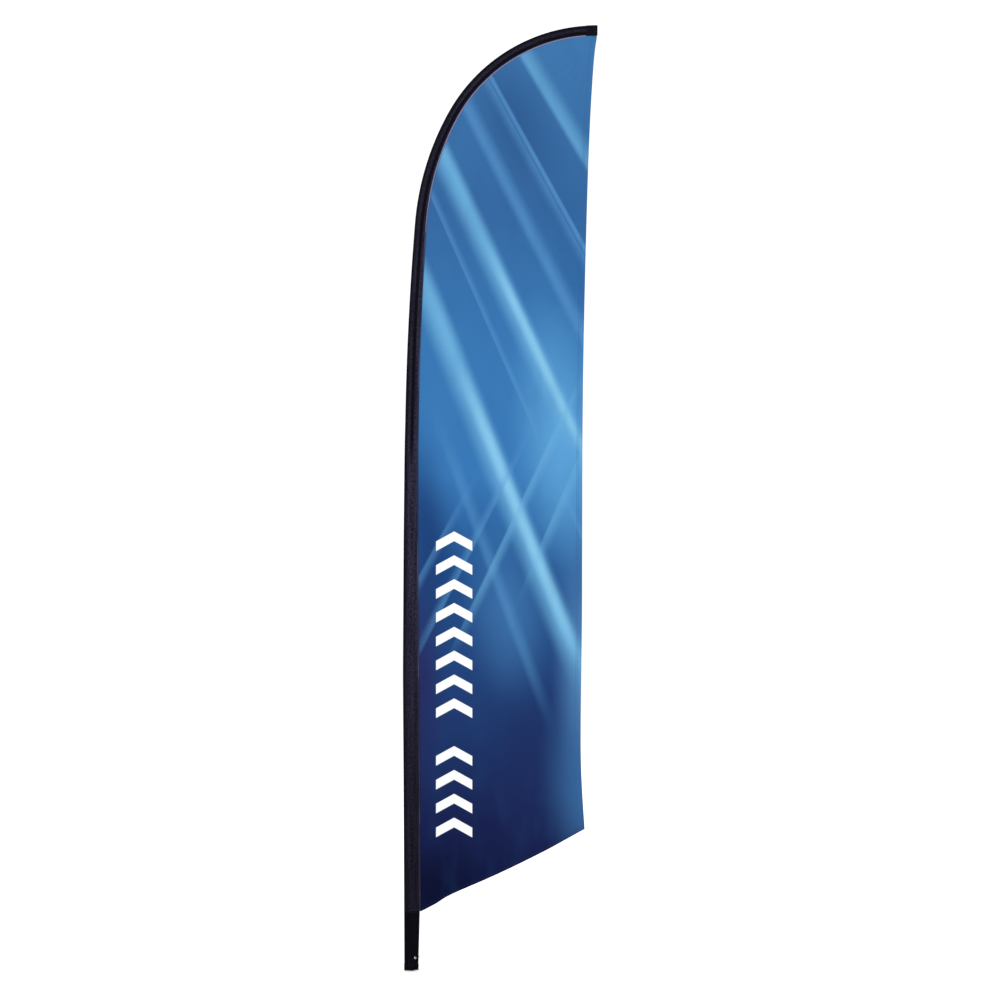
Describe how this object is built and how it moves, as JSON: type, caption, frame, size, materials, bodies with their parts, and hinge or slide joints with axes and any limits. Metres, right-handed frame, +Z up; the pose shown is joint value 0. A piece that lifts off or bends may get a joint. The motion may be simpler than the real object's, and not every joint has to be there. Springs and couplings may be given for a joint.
{
  "type": "feather flag",
  "caption": "Tall feather flag: printed banner with a black pole sleeve on a sectional pole that bends over at the head and turns on a ball-bearing spindle.",
  "frame": {"origin": "centre of the spindle's base face, at the mouth of its tapped hole, on the pole's axis", "axes": "+Z up the pole, +X from the pole towards the fly edge, +Y through the cloth to its back; the printed front faces -Y"},
  "size_m": [0.8159, 0.035, 3.9641],
  "materials": {
    "spindle_steel": "turned, zinc plated",
    "bearing_steel": "ground and polished",
    "cage_brass": "stamped",
    "washer_nylon": "moulded nylon",
    "spring_steel": "blued spring steel",
    "anodised_aluminium": "satin anodised",
    "black_plastic": "moulded",
    "fibreglass": "pultruded glass fibre",
    "plated_fitting": "nickel plated",
    "elastic_cord": "braided sheath",
    "sleeve_cloth": "black knitted polyester",
    "pocket_webbing": "woven webbing",
    "seam_tape": "narrow binding",
    "printed_cloth": "printed knitted polyester"
  },
  "bodies": {
    "spindle": {"spindle_shaft": "spindle_steel", "thrust_washer": "washer_nylon", "lower_inner_race": "bearing_steel", "race_spacer": "spindle_steel", "upper_inner_race": "bearing_steel", "spindle_circlip": "spring_steel"},
    "ball_set": {"lower_ball_ring": "bearing_steel", "lower_ball_cage": "cage_brass", "upper_ball_ring": "bearing_steel", "upper_ball_cage": "cage_brass"},
    "rotor": {"rotor_barrel": "anodised_aluminium", "lower_outer_race": "bearing_steel", "upper_outer_race": "bearing_steel", "barrel_cap": "black_plastic"},
    "mast": {"lower_pole": "anodised_aluminium", "middle_pole": "anodised_aluminium", "upper_pole": "fibreglass", "upper_pole_ferrule": "plated_fitting", "tip_rod": "fibreglass", "tip_rod_cap": "black_plastic", "lower_button_spring": "spring_steel", "upper_button_spring": "spring_steel", "pole_hook": "plated_fitting", "hook_rivet": "plated_fitting", "tension_cord": "elastic_cord", "pole_sleeve": "sleeve_cloth", "sleeve_tail": "sleeve_cloth", "sleeve_cuff": "sleeve_cloth", "tip_pocket": "pocket_webbing", "sleeve_eyelets": "plated_fitting", "eyelet_washers": "plated_fitting", "seam_tape": "seam_tape", "mast_panel": "printed_cloth"},
    "lower_button": {"lower_snap_button": "plated_fitting"},
    "upper_button": {"upper_snap_button": "plated_fitting"},
    "sail": {"sail_panel": "printed_cloth", "fly_hem": "printed_cloth", "bottom_hem": "printed_cloth"}
  },
  "joints": [
    {"name": "swivel", "type": "hinge", "parent": "spindle", "child": "rotor", "pos_m": [0, 0, 0.081], "axis": [0, 0, 1], "continuous": true},
    {"name": "ball_turn", "type": "hinge", "parent": "spindle", "child": "ball_set", "pos_m": [0, 0, 0.081], "axis": [0, 0, 1], "continuous": true},
    {"name": "lift_off", "type": "slide", "parent": "rotor", "child": "mast", "axis": [0, 0, 1], "range_m": [0, 0.2]},
    {"name": "sail_swing", "type": "hinge", "parent": "mast", "child": "sail", "pos_m": [0.062, 0, 0.253], "axis": [0.1934, 0, 0.9811], "range_deg": [-22, 22]},
    {"name": "lower_button_press", "type": "slide", "parent": "mast", "child": "lower_button", "axis": [-1, 0, 0], "range_m": [0, 0.0032], "stiffness_N_per_m": 800, "springref_m": -0.002, "deforming": ["lower_button_spring"]},
    {"name": "upper_button_press", "type": "slide", "parent": "mast", "child": "upper_button", "axis": [-1, 0, 0], "range_m": [0, 0.0032], "stiffness_N_per_m": 800, "springref_m": -0.002, "deforming": ["upper_button_spring"]}
  ],
  "couplings": [
    {"joint": "ball_turn", "follows": "swivel", "ratio": 0.58333}
  ]
}
